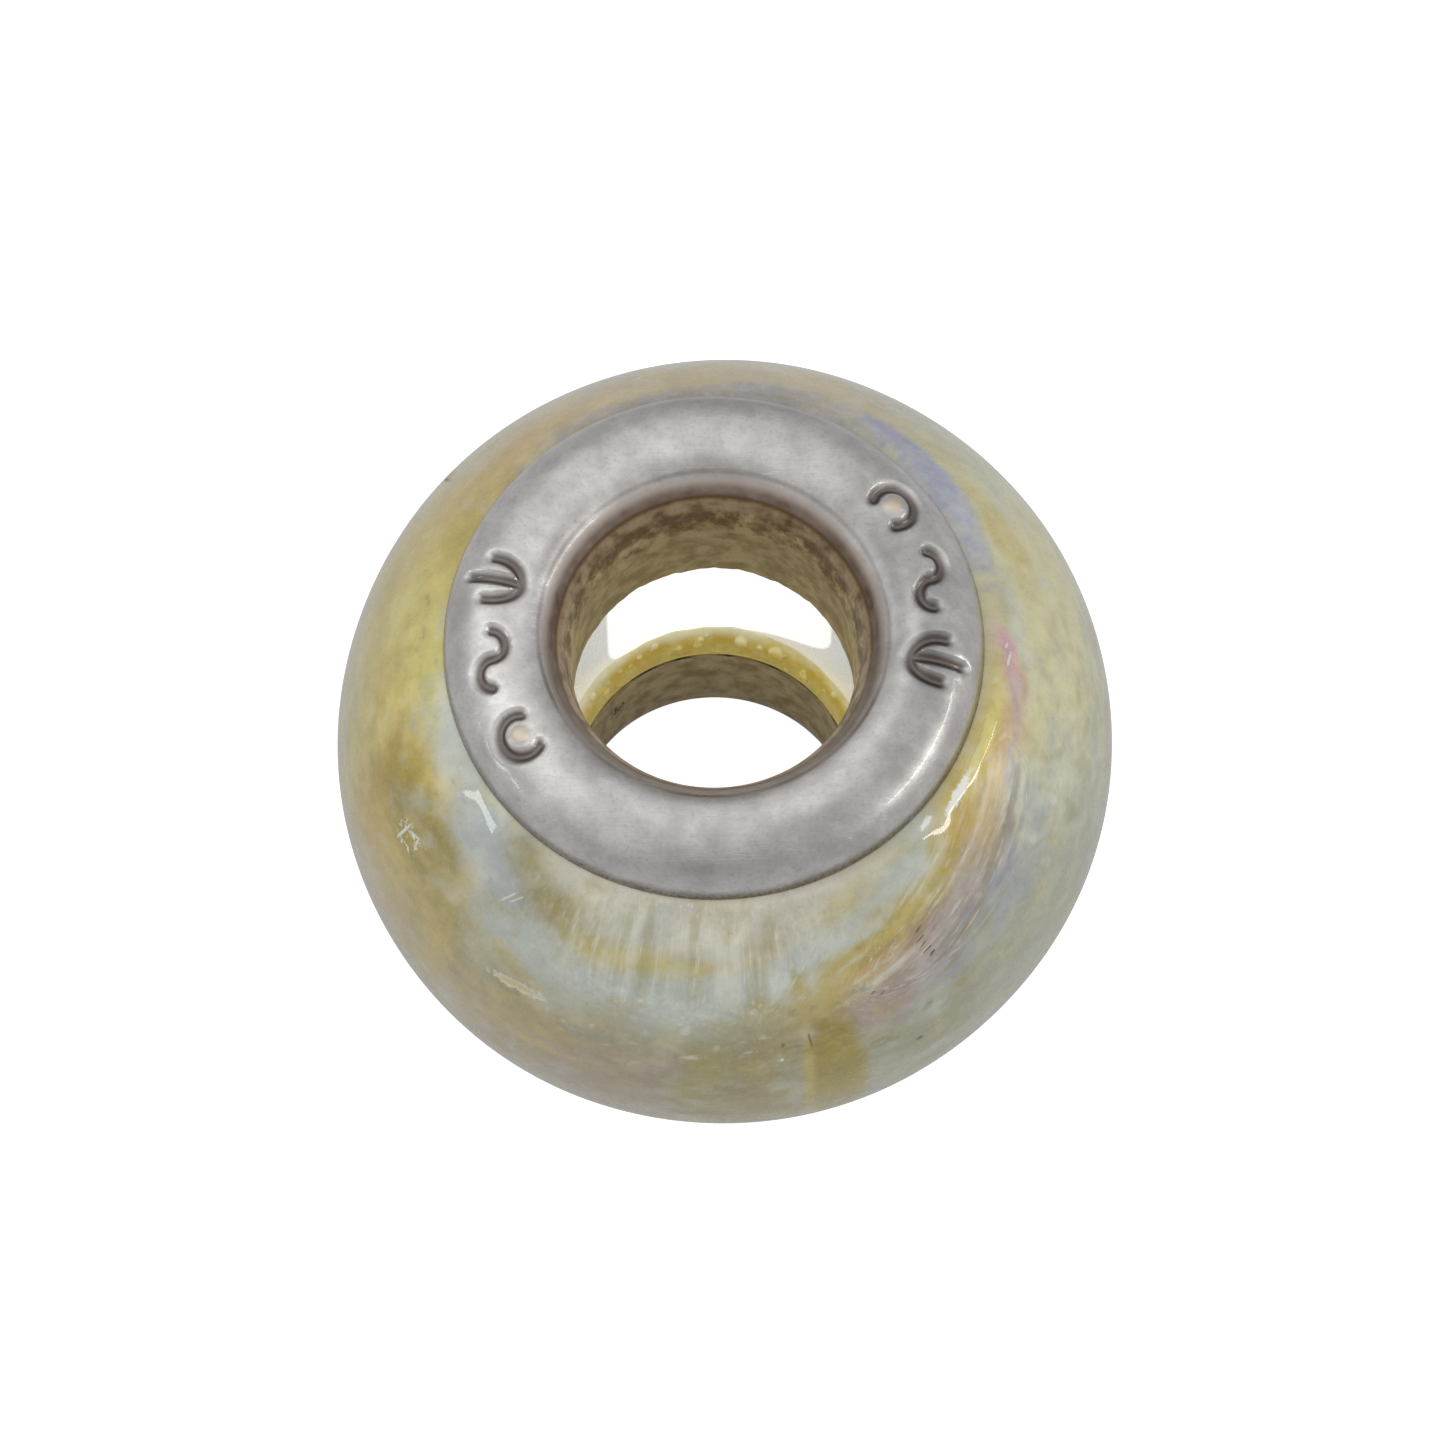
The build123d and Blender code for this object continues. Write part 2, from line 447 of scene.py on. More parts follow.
painted_reflection_tone = np.where(painted_reflection_tone > 0, lightest * np.tanh(painted_reflection_tone / lightest), painted_reflection_tone)
painted_reflection_tone = np.exp(painted_reflection_tone * on_dome[:, None])
store(front_core, "painted_reflection_tone", painted_reflection_tone)
print(f"tone of the dome from {painted_reflection_tone.min():.2f} to {painted_reflection_tone.max():.2f}")

# %% [markdown]
# The back grommet is the same piece turned over, without marks. It needs fewer points round.

# %% Shape the back grommet
back_azimuths = steps_round(360)
back_grid = spin(section, back_azimuths)
back_ragged = ripple(back_azimuths, [(0.006 * mm, 7, 0.0), (0.005 * mm, 19, 1.0)])
back_grid[..., 2] += (0.01 * mm + back_ragged) * at_end
back_grid *= (1, -1, -1)
back_grid += (hole_x, 0, glass_low.z)
back_core = ring_mesh("back_grommet", back_grid, sharp_angle=35)
store(back_core, "painted_reflection_tone", np.ones(back_grid.shape[:2]))

# %% [markdown]
# ## The glue
#
# A little adhesive oozed past the end of the back tube and has yellowed. It is a fillet with an
# uneven upper edge, which comes from a few waves.

# %% Shape the glue
glue_azimuths = steps_round(900)
glue_outer = (glue_high.x - glue_low.x) / 2
glue_length = glue_high.z - glue_low.z
glue_thick = 0.24 * mm
bulge = arc((0, 0), 1, 0, 90, 36)
glue_face = np.stack([glue_outer - glue_thick * bulge[:, 0], glue_low.z + glue_length * bulge[:, 1]], 1)
glue_section = np.concatenate([
    glue_face,
    line((glue_outer, glue_high.z), (glue_outer, glue_low.z), 6),
    line((glue_outer, glue_low.z), (glue_outer - glue_thick, glue_low.z), 3)[:-1],
])
glue_grid = spin(glue_section, glue_azimuths, hole_x)
height_share = (glue_section[:, 1:] - glue_low.z) / glue_length
edge = ripple(glue_azimuths, [(0.06, 2, 3.4), (0.04, 5, 0.7), (0.03, 13, 2.0), (0.02, 31, 1.0)])
mean_loss = 0.12
glue_grid[..., 2] += glue_length * height_share * (edge - mean_loss)
print(f"glue from {glue_grid[..., 2].min() / mm:.2f} to {glue_grid[..., 2].max() / mm:.2f} mm up")

# %% [markdown]
# The bubbles under its skin could be small domes set on the band, but a grid this fine can carry
# them itself: each one pushes its patch inward. The draw has a fixed seed, so they come out in the
# same places each time.

# %% Blow the bubbles
draw = np.random.default_rng(12)
bubble_count = 70
bubbles = np.stack([
    draw.normal(60, 75, bubble_count),
    draw.uniform(0.15, 0.9, bubble_count),
    draw.uniform(0.03, 0.085, bubble_count) * mm,
], 1)
# azimuth, how far up the band, radius
big_bubbles = [
    (64, 0.74, 0.17 * mm), (79, 0.7, 0.14 * mm), (50, 0.5, 0.12 * mm), (97, 0.55, 0.1 * mm),
    (141, 0.5, 0.1 * mm),
]
bubbles = np.concatenate([bubbles, big_bubbles])
swelling = np.zeros(glue_grid.shape[:2])
skins = np.zeros(glue_grid.shape[:2])
for at, up, radius in bubbles:
    across = np.radians(turn_gap(np.degrees(glue_azimuths), at)) * glue_outer
    along = (height_share - up) * glue_length
    dome = np.sqrt(np.clip(1 - gap_squared(across, along, radius, radius), 0, 1))
    swelling = np.maximum(swelling, 0.6 * radius * dome)
    skins = np.maximum(skins, dome)
swelling[len(glue_face):] = 0
glue_grid -= swelling[..., None] * compass(np.degrees(glue_azimuths), 0)
skins = skins[::-1]
band = ring_mesh("glue_ooze", glue_grid[::-1], sharp_angle=50)
store(band, "bubble_rim_glint", 4 * skins * (1 - skins))

# %% [markdown]
# ## Drifting veils of colour
#
# The glass has soft patches of ochre, peach, grey and lavender that run from end to end where the
# hot glass was stretched. A painted image would be one way. Here every patch is a veil: an ellipse
# at an azimuth and a latitude, with its own tilt and softness, and the points of the mesh keep the
# colour that all the veils give them. Colours are written as they look on a screen.

# %% The paints
def tint(red, green, blue):
    """A colour as it looks on a screen, 0 to 255, turned into the light that nodes work in."""
    shares = [value / 255 for value in (red, green, blue)]
    return tuple(s / 12.92 if s <= 0.04045 else ((s + 0.055) / 1.055) ** 2.4 for s in shares) + (1.0,)


paints = dict(
    khaki=(204, 190, 114), stone=(190, 184, 154), sand=(202, 182, 108), butter=(208, 203, 154),
    sage=(170, 172, 146), tan=(192, 172, 106), grey=(184, 170, 134), mauve=(166, 150, 126),
    lilac=(164, 152, 150), olive=(154, 142, 70), moss=(130, 120, 62), ochre=(182, 160, 62),
    umber_ochre=(166, 142, 40), gold=(206, 184, 92), mustard=(164, 144, 22), lemon=(222, 212, 126),
    apricot=(200, 168, 106), peach=(210, 184, 136), orange=(192, 158, 80), pink=(222, 170, 182),
    rose=(180, 152, 150), lavender=(164, 166, 194), blue=(168, 174, 176), mist=(196, 203, 194),
    veil=(210, 206, 188), white=(234, 234, 218), ash=(164, 160, 164), glint=(252, 252, 244),
    umber=(84, 76, 52),
)
paints = {name: tint(*light) for name, light in paints.items()}
print(f"{len(paints)} paints")

# %% [markdown]
# The veils are laid one over the other, as a painter would: first the ground, then the patches
# on the left, the pale U in front and the gold stroke on the right. Round the back, which nobody has
# seen, they go on in the same manner. The last ones hang straight, with crisp edges.

# %% The veils
# azimuth, latitude, half width, half height, tilt in degrees, softness, strength, paint
veils = [
    # the ground, all round
    (150, 30, 75, 34, 0, 0.6, 0.95, "sand"),
    (80, 30, 46, 34, 0, 0.6, 0.9, "stone"),
    (18, 34, 44, 34, 0, 0.6, 0.95, "butter"),
    (322, 2, 46, 34, 0, 0.45, 0.95, "sage"),
    (222, 14, 42, 26, 0, 0.6, 0.9, "tan"),
    (205, 0, 40, 12, 0, 0.8, 0.7, "grey"),
    (252, 4, 16, 22, 0, 0.7, 0.9, "mauve"),
    (264, 9, 3, 9, 0, 0.9, 0.7, "lilac"),
    (273, 6, 9, 30, 0, 0.4, 0.85, "olive"),
    (278, 18, 4, 8, 0, 0.8, 0.5, "mauve"),
    (250, 24, 20, 6, 0, 0.8, 0.6, "sage"),
    (182, 33, 20, 18, 0, 0.7, 0.8, "khaki"),
    # behind and left
    (110, 41, 28, 8, 0, 0.8, 0.6, "peach"),
    (136, 44, 14, 6, 0, 0.7, 0.8, "apricot"),
    (153, 45, 16, 5.5, 0, 0.6, 0.85, "gold"),
    (154, 46, 5, 3, 0, 0.9, 0.8, "ochre"),
    (172, 45, 6, 4, 0, 0.8, 0.8, "ochre"),
    (176, 44, 18, 8, 0, 0.8, 0.7, "lemon"),
    (187, 48, 11, 4.5, 0, 0.8, 0.9, "lemon"),
    (199, 49.5, 9, 2.4, 0, 0.8, 0.9, "mist"),
    (190, 38, 12, 5, 0, 0.9, 0.5, "gold"),
    # the ochre patch on the left
    (202, 30, 11, 9, 0, 0.7, 0.85, "ochre"),
    (199, 33, 7, 7, 0, 0.9, 0.9, "umber_ochre"),
    (199, 20, 6, 7, 0, 0.9, 0.45, "orange"),
    (211, 35, 6, 8, -20, 0.8, 0.6, "moss"),
    (224, 26, 12, 6, -10, 0.9, 0.5, "olive"),
    # right and behind
    (29, 40.5, 8, 5, 0, 0.9, 0.75, "gold"),
    (60, 42, 10, 6, 0, 0.9, 0.5, "peach"),
    (80, 41, 14, 7, 0, 0.9, 0.5, "peach"),
    (50, 34, 16, 8, 0, 0.9, 0.4, "sage"),
    (92, 51, 38, 4.4, 0, 0.5, 0.8, "ash"),
    (42, 50, 24, 3.8, -6, 0.5, 0.95, "lavender"),
    (8, 48, 10, 2.2, 0, 0.8, 0.7, "mist"),
    # the U of pale veils in front
    (268, 46, 40, 9, 0, 0.5, 0.95, "veil"),
    (202, 48, 9, 5, 0, 0.8, 0.8, "mist"),
    (215, 45, 12, 6, -10, 0.8, 0.9, "mist"),
    (228, 39, 17, 7, -35, 0.7, 0.95, "mist"),
    (231, 38, 11, 4.5, -35, 0.9, 0.75, "blue"),
    (219, 44.5, 7, 3.5, -15, 0.9, 0.45, "blue"),
    (256, 32, 24, 5.5, -4, 0.7, 0.95, "mist"),
    (229, 46.3, 5.5, 2.8, -20, 0.8, 0.7, "olive"),
    (243, 49.3, 8, 2.6, 0, 0.8, 0.8, "veil"),
    (257, 46.5, 7, 2.5, 0, 0.8, 0.5, "mist"),
    (240, 42.4, 8, 2.7, 6, 0.8, 0.7, "olive"),
    (258, 39.3, 12, 1.8, 0, 0.8, 0.8, "khaki"),
    (280, 36, 16, 4.2, 12, 0.8, 0.8, "mist"),
    (296, 44, 24, 3.4, 20, 0.8, 0.85, "mist"),
    (295, 47, 9, 2.4, 20, 0.9, 0.6, "khaki"),
    (314, 50, 10, 3, 10, 0.8, 0.8, "mist"),
    # the gold stroke and what lies under it
    (286, 28, 8, 5, 0, 0.8, 0.7, "ochre"),
    (290, 12, 14, 16, 0, 0.9, 0.3, "olive"),
    (306, 39.4, 25, 4.8, 20, 0.6, 0.95, "gold"),
    (302, 35, 14, 2.6, 18, 0.9, 0.7, "orange"),
    (319, 44, 13, 4.2, 18, 0.8, 0.8, "ochre"),
    (311, 34.5, 20, 4.6, 19, 0.7, 0.9, "rose"),
    (322, 37, 9, 3, 28, 0.9, 0.6, "lilac"),
    (318, 27, 20, 5.2, 18, 0.7, 0.85, "blue"),
    (299, 24, 10, 5, 12, 0.9, 0.75, "rose"),
    (326, 33, 5, 3, 30, 0.9, 0.4, "lavender"),
    (334, 44, 14, 4.4, 20, 0.8, 0.9, "peach"),
    (325, 47.5, 8, 1.8, 16, 0.8, 0.8, "orange"),
    (338, 51, 17, 2.6, 3, 0.7, 0.95, "gold"),
    # painted highlight: a lemon line along the flange on the right
    (339, 51.3, 8, 0.8, 4, 0.8, 0.9, "lemon"),
    (352, 48.5, 9, 2.2, 12, 0.8, 0.8, "peach"),
    (343, 45.5, 14, 2.2, 18, 0.9, 0.5, "apricot"),
    (340, 32, 8, 9, 10, 0.9, 0.6, "mist"),
    (350, 47, 6, 2.5, 30, 0.9, 0.7, "rose"),
    # painted highlight: a pink glint by the flange on the right
    (359, 50.8, 5, 1.8, 14, 0.8, 0.95, "pink"),
    (340, 41, 15, 1.0, 32, 0.7, 0.9, "ash"),
    # low down and round the back
    (110, -12, 16, 20, 15, 0.8, 0.7, "lavender"),
    (140, -5, 10, 22, -10, 0.8, 0.7, "peach"),
    (90, 5, 20, 24, 0, 0.8, 0.6, "ochre"),
    (60, 8, 14, 20, 0, 0.8, 0.6, "blue"),
    (40, -8, 14, 20, -15, 0.8, 0.7, "gold"),
    (150, -30, 60, 22, 10, 0.7, 0.6, "sage"),
    (30, -30, 60, 20, -10, 0.7, 0.6, "tan"),
    (200, -28, 20, 12, 15, 0.8, 0.7, "blue"),
    (320, -34, 24, 8, -10, 0.8, 0.7, "rose"),
    (270, -35, 60, 14, 0, 0.7, 0.6, "sand"),
]
straight_veils = [
    (286.8, 4, 4.6, 22, 0, 0.25, 0.95, "mustard"),
    (282.6, 4, 0.8, 21, 0, 0.6, 0.6, "gold"),
    (237.4, 3, 0.6, 5, 0, 0.9, 0.4, "mist"),
]
# azimuth, latitude, half width, half height (degrees), how much lighter or darker: partly painted light and
# shade, partly the glass's own tone
glass_light_and_shade_patches = [
    (195, 40, 32, 12, 0.2), (192, 50, 12, 2.5, 0.2), (204, 43, 6, 4, 0.12), (243, 49, 8, 3, 0.14),
    (258, 46.5, 7, 3, 0.1), (332, 45, 8, 3, 0.14), (0, 32, 45, 14, 0.06), (218, 50.5, 5, 2, 0.25),
    (227, 44, 4, 5, -0.08), (234, 39.5, 5, 3.5, -0.18), (281, 35, 6, 4, 0.15),
    (180, 40, 5, 4, -0.1), (338, 48, 18, 6, 0.2), (350, 33, 16, 12, 0.12), (90, 46, 28, 8, -0.13),
    (52, 46, 18, 5, -0.15), (8, 50, 9, 2, -0.2), (172, 5, 20, 10, 0.15), (215, 20, 20, 10, 0.08),
    (322, 37, 10, 5, -0.22), (308, 34, 8, 5, -0.25),
]
print(f"{len(veils) + len(straight_veils)} veils, {len(glass_light_and_shade_patches)} patches")

# %% [markdown]
# The edges of the veils and the streaks inside them come from cloudy noise. Blender's own noise
# could do it in the material, but with this many layers it would be worked out again for every ray.
# On the points it is worked out once, from tables of random numbers that close round the ring.

# %% Clouds, veils and washes
from_axis = np.hypot(glass_grid[..., 0], glass_grid[..., 1])
point_azimuth = np.degrees(np.arctan2(glass_grid[..., 1], glass_grid[..., 0]))
point_latitude = np.degrees(np.arctan2(glass_grid[..., 2] - middle_height, from_axis - middle_radius))


def smooth(value, start=0.0, end=1.0):
    """0 before start, 1 after end, and a smooth step between them."""
    share = np.clip((value - start) / (end - start), 0, 1)
    return share * share * (3 - 2 * share)


def clouds(seed, cells, rise, slope=0.0, octaves=4, keep=0.6):
    """Cloudy noise of about -1 to 1: so many blobs round the ring, each so many degrees tall."""
    draw = np.random.default_rng(seed)
    rows = 61
    total = np.zeros(point_azimuth.shape)
    turn = point_azimuth % 360
    for octave in range(octaves):
        columns = cells * 2**octave
        table = draw.uniform(-1, 1, (rows, columns))
        across = turn / 360 * columns
        along = (point_latitude + 720 - slope * turn) / rise * 2**octave
        column, row = np.floor(across).astype(int), np.floor(along).astype(int)
        across, along = smooth(across - column), smooth(along - row)
        low, high = (
            mix(table[(row + i) % rows, column % columns],
                table[(row + i) % rows, (column + 1) % columns], across)
            for i in (0, 1)
        )
        total += keep**octave * mix(low, high, along)
    return total


def veil_share(azimuth, latitude, at, up, wide, tall, tilt, soft, fray=0.0):
    """How much of a veil lies on each point, from 0 to 1."""
    round_gap = turn_gap(azimuth, at)
    up_gap = latitude - up
    cosine, sine = math.cos(math.radians(tilt)), math.sin(math.radians(tilt))
    across = round_gap * cosine + up_gap * sine
    along = up_gap * cosine - round_gap * sine
    return smooth((1 + soft - np.hypot(across / wide, along / tall) - fray) / (2 * soft))


def region(*shape):
    """How far each point belongs to a region, given like a veil."""
    return veil_share(point_azimuth, point_latitude, *shape)


def wash(colour, share, paint):
    """Lays one paint over the points' colour."""
    return mix(colour, np.array(paints[paint]), np.clip(share, 0, 1)[..., None])


def lay(colour, veils, azimuth, latitude, fray):
    """Lays veils over the points' colour, with their edges pushed in and out by the fray."""
    for *shape, strength, paint in veils:
        colour = wash(colour, veil_share(azimuth, latitude, *shape, fray) * strength, paint)
    return colour


# %% [markdown]
# The places of the veils are pushed about by slow and fast clouds first, so that no edge is a true
# ellipse. In front the streaks are combed upright, on the right they are brushed along a slant, and
# beside that the glass looks grassy. Each kind of streak keeps to its own region.

# %% Paint the points of the glass
slanted = region(316, 38, 34, 13, 20, 0.35)
combed = region(263, 40, 26, 12, 0, 0.5)
grassy = region(341, 29, 13, 8, 0, 0.6)
moved_azimuth = point_azimuth + 4.0 * clouds(1, 16, 16) + 0.8 * clouds(2, 90, 3, octaves=2)
moved_latitude = point_latitude + 1.6 * clouds(3, 14, 14) + 0.5 * clouds(4, 90, 3, octaves=2)
threads = clouds(5, 230, 13, octaves=1) * 1.5
brushed = clouds(6, 24, 1.8, slope=0.4, octaves=2, keep=0.8) * 1.2
mottles = clouds(7, 70, 4.5, octaves=3, keep=0.75)
strands = threads * combed + brushed * slanted
bare = np.broadcast_to(paints["stone"], point_azimuth.shape + (4,))
paint = lay(bare, veils, moved_azimuth, moved_latitude, 0.2 * mottles + 0.2 * strands)

warm = clouds(8, 44, 7, octaves=4, keep=0.7)
paint = wash(paint, 0.34 * smooth(warm, 0.0, 1.6), "ochre")
paint = wash(paint, 0.4 * smooth(-warm, 0.0, 1.6), "mist")
paint = lay(paint, straight_veils, point_azimuth, point_latitude, 0.14 * mottles)
paint = wash(paint, (0.6 * combed + 0.3 * slanted) * smooth(strands, 0.1, 1.2), "white")
paint = wash(paint, 0.4 * smooth(-strands, 0.2, 1.2), "olive")
grass = clouds(10, 110, 3.5, slope=-1.0, octaves=2, keep=0.8)
paint = wash(paint, 0.5 * grassy * smooth(grass, 0.1, 1.2), "white")
paint = wash(paint, 0.4 * grassy * smooth(-grass, 0.3, 1.2), "olive")

# %% [markdown]
# Last come the specks and the broad lights and darks. The lights and darks are partly painted light
# and shade and partly the glass's own tone, with a random mottle. The specks are the tops of a very
# fine cloud, and they show only where the glass is specked.

# %% Speck the points of the glass and paint light and shade on them
specks = clouds(9, 150, 1.8, octaves=2, keep=0.8) * 1.1
specked = np.maximum.reduce([
    region(290, 20, 18, 11, 0, 0.6), region(208, 38, 8, 8, 0, 0.6),
    region(170, 43, 10, 3, 0, 0.6), 0.4 * region(320, 24, 40, 8, 20, 0.6),
])
paint = wash(paint, 0.6 * specked * smooth(specks, 0.7, 1.3), "moss")
paint = wash(paint, 0.5 * region(262, 22, 24, 8, 0, 0.6) * smooth(-specks, 0.9, 1.4), "white")
# painted light and shade, partly the glass's own tone, with a random mottle
shade = np.exp(soft_patches(point_azimuth, point_latitude, glass_light_and_shade_patches)) * (1 + 0.09 * mottles)
paint = np.clip(paint * shade[..., None], 0, 1)
store(glass, "paint", paint, "FLOAT_COLOR")
print(f"{point_azimuth.size} points painted, shaded by {shade.min():.2f} to {shade.max():.2f}")

# %% [markdown]
# The finest streaks are drawn by the material, from one noise. What makes them run the right way is
# the place that the noise is read at: a flow vector on each point, squeezed across the streaks and
# stretched along them. Where two flows meet they would tear, so the streaks fade out there.

# %% Store the flow of the streaks
start_azimuth, start_latitude = 318, 42
side_mm = side_round / mm
round_mm = np.radians(turn_gap(point_azimuth, start_azimuth)) * glass_radius / mm
up_mm = np.radians(point_latitude) * side_mm
slant_turn = math.radians(19)
along_mm = round_mm * math.cos(slant_turn) + up_mm * math.sin(slant_turn)
across_mm = up_mm * math.cos(slant_turn) - round_mm * math.sin(slant_turn)
ring_x, ring_y, _ = np.moveaxis(compass(point_azimuth, 0) * glass_radius / mm, -1, 0)
level_mm = up_mm - math.radians(start_latitude) * side_mm
flows = [
    (combed, np.stack([8 * ring_x, 8 * ring_y, level_mm], -1)),
    (slanted * (1 - combed), np.stack([9 * across_mm, 1.2 * along_mm, 0 * up_mm], -1)),
    ((1 - slanted) * (1 - combed), np.stack([8 * ring_x, 8 * ring_y, 5 * level_mm], -1)),
]
store(glass, "flow", sum(share[..., None] * way for share, way in flows), "FLOAT_VECTOR")
steady = smooth(np.abs(2 * slanted - 1), 0.3, 0.8)
streaky = np.clip(0.2 + combed + slanted, 0, 1) * np.maximum(steady, combed)
store(glass, "brushed", streaky)
print(f"streaks on {(streaky > 0.5).mean():.0%} of the points")

# %% [markdown]
# ## Nodes in short lines
#
# Materials are built from nodes. A small helper puts one node into a tree, sets its options and
# feeds its inputs, with a number, a colour or another node's output. A socket knows its own tree,
# so the sums below it need no tree, and each line reads like arithmetic.

# %% Helpers for nodes
def feed(socket, value):
    """Feeds a socket from another node's output, or sets it to a number or a colour."""
    if isinstance(value, bpy.types.NodeSocket):
        socket.id_data.links.new(value, socket)
    elif value is not None:
        socket.default_value = value


def put(tree, kind, *feeds, **settings):
    """Adds a node, with its inputs fed in order; None leaves an input alone."""
    made = tree.nodes.new(kind)
    for option, value in settings.items():
        setattr(made, option, value)
    for socket, value in zip([s for s in made.inputs if s.enabled], feeds):
        feed(socket, value)
    return made


def tree_of(*feeds):
    """The tree of the first socket among some feeds."""
    return next(value.id_data for value in feeds if isinstance(value, bpy.types.NodeSocket))


def result(made):
    """The output that a node's settings leave in use."""
    return next(output for output in made.outputs if output.enabled)


def calc(operation, *feeds):
    """One step of arithmetic."""
    return result(put(tree_of(*feeds), "ShaderNodeMath", *feeds, operation=operation))


def vector(operation, *feeds):
    """One step of arithmetic on places and directions."""
    return result(put(tree_of(*feeds), "ShaderNodeVectorMath", *feeds, operation=operation))


def plus(first, second):
    """One value and another."""
    return calc("ADD", first, second)


def minus(first, second):
    """One value less another."""
    return calc("SUBTRACT", first, second)


def times(first, second):
    """One value by another."""
    return calc("MULTIPLY", first, second)


def blend(share, first, second, blend_type="MIX"):
    """Mixes two colours by a share from 0 to 1."""
    tree = tree_of(share, first, second)
    settings = dict(data_type="RGBA", blend_type=blend_type)
    return result(put(tree, "ShaderNodeMix", share, first, second, **settings))


def fade(value, start, end, top=1.0):
    """0 before start, the top after end, and a smooth step between them."""
    return result(put(tree_of(value), "ShaderNodeMapRange", value, start, end, 0.0, top,
                      interpolation_type="SMOOTHSTEP"))


def near_to(value, centre, reach, core=0.0, top=1.0):
    """The top where a value is at a centre, and 0 beyond a reach from it."""
    return fade(calc("ABSOLUTE", minus(value, centre)), reach, core, top)


def noise(place, scale, detail, roughness):
    """Cloudy noise from 0 to 1."""
    made = put(tree_of(place), "ShaderNodeTexNoise", place)
    for name, value in dict(Scale=scale, Detail=detail, Roughness=roughness).items():
        made.inputs[name].default_value = value
    return made.outputs[0]


def length_of(across, along):
    """How long the diagonal of two lengths is."""
    pair = put(tree_of(across, along), "ShaderNodeCombineXYZ", across, along, 0.0)
    return vector("LENGTH", result(pair))


# %% [markdown]
# ## Where a point is on the bead
#
# Light comes into the hole at one side, and tarnish sits inside the tubes, so the materials ask the
# same question: how far round, how high up, how far from the middle of the hole. One group answers
# it for all of them, in degrees and millimetres.

# %% The group that finds a place on the bead
finder = bpy.data.node_groups.new("place on the bead", "ShaderNodeTree")
for label, kind in dict(Place="Vector", Azimuth="Float", From_hole="Float", Height="Float").items():
    label = label.replace("_", " ")
    finder.interface.new_socket(label, in_out="OUTPUT", socket_type="NodeSocket" + kind)
place = put(finder, "ShaderNodeTexCoord").outputs["Object"]
millimetres = vector("MULTIPLY", place, (1 / mm,) * 3)
apart = put(finder, "ShaderNodeSeparateXYZ", millimetres).outputs
azimuth = calc("DEGREES", calc("ARCTAN2", apart["Y"], apart["X"]))
from_hole = length_of(minus(apart["X"], hole_x / mm), apart["Y"])
put(finder, "NodeGroupOutput", millimetres, azimuth, from_hole, apart["Z"])
print(f"{finder.name}: {len(finder.nodes)} nodes")

# %% [markdown]
# ## The small marks
#
# Marks smaller than the mesh's own points are drawn by the material: the scratches, a chip, specks
# of soot and painted highlights, which are white glints, a lemon line and two glint splashes along
# the flange on the right. Each is a stretched spot. A Mapping node in its texture mode turns the
# place into the mark's own axes and sizes, where the spot is simply a ball round the middle.

# %% The small marks
# azimuth, latitude, half width, half height (mm), tilt in degrees, paint, strength
small_marks = [
    # the first five are painted highlights: white glints, a lemon line and glint splashes by the flange
    (357.5, 49.4, 0.15, 0.026, -16, "white", 0.8),
    (0.5, 49.9, 0.08, 0.024, -24, "white", 0.7),
    (339, 51.1, 0.5, 0.04, 7, "lemon", 0.9),
    (326, 50.4, 0.42, 0.085, 6, "glint", 0.95),
    (316.4, 51.3, 0.15, 0.05, 12, "glint", 0.9),
    (236.8, 22.2, 0.52, 0.12, 8, "white", 0.8),
    (236.8, 22.2, 0.4, 0.075, 8, "khaki", 0.75),
    (206.4, 28.5, 0.26, 0.03, 84, "white", 0.9),
    (208.4, 30.6, 0.17, 0.03, 30, "white", 0.9),
    (209.8, 30, 0.13, 0.028, 100, "white", 0.8),
    (229.2, 38.6, 0.2, 0.018, 62, "white", 0.8),
    (230.6, 39, 0.17, 0.018, 56, "white", 0.7),
    (140.6, 25, 0.05, 0.5, -14, "umber", 0.8),
    (304.8, 35.7, 0.085, 0.018, 30, "umber", 0.9),
    (304.4, 33.6, 0.1, 0.018, 20, "umber", 0.8),
    (304.6, 32.3, 0.085, 0.016, 30, "umber", 0.8),
    (305, 30.7, 0.11, 0.02, 20, "umber", 0.9),
    (305.4, 29.2, 0.08, 0.03, 30, "umber", 0.9),
    (308.4, 17.9, 0.15, 0.1, 0, "mustard", 0.5),
    (283.1, 20.6, 0.022, 0.22, 6, "umber", 0.7),
    (278.9, 20.7, 0.03, 0.06, 0, "umber", 0.6),
    (278.6, 16.5, 0.035, 0.035, 0, "white", 0.9),
    (294.1, 27.5, 0.05, 0.03, 20, "umber", 0.6),
    (295.6, 26.6, 0.06, 0.02, 30, "umber", 0.6),
    (300, 8.5, 0.07, 0.06, 0, "umber", 0.8),
    (318, 16, 0.17, 0.07, 20, "mustard", 0.4),
]
mark_depth = 0.6


def direction_to(azimuth, elevation):
    """The unit vector towards an azimuth and an elevation in degrees."""
    return Vector(compass(azimuth, elevation))


def mark_frame(azimuth, latitude, tilt):
    """Where a mark sits on the bulging side, in millimetres, and how it is turned."""
    out = direction_to(azimuth, latitude)
    east = direction_to(azimuth + 90, 0)
    turn = math.radians(tilt)
    along = east * math.cos(turn) + out.cross(east) * math.sin(turn)
    centre = bead_middle + direction_to(azimuth, 0) * middle_radius + out * side_round
    return centre / mm, Matrix((along, out.cross(along), out)).transposed().to_euler()


def spot_share(place, azimuth, latitude, wide, tall, tilt, ragged):
    """1 inside a stretched spot on the bulging side, 0 outside, with a ragged edge."""
    centre, turned = mark_frame(azimuth, latitude, tilt)
    size = (wide, tall, mark_depth)
    inside = put(place.id_data, "ShaderNodeMapping", place, centre, turned, size, vector_type="TEXTURE")
    return fade(plus(vector("LENGTH", result(inside)), ragged), 1.3, 0.7)


# %% [markdown]
# ## Starting a material
#
# Each material is one Principled shader and whatever feeds it. A value that is the same all over is
# set on the shader's own socket, and only what changes over the surface is linked.

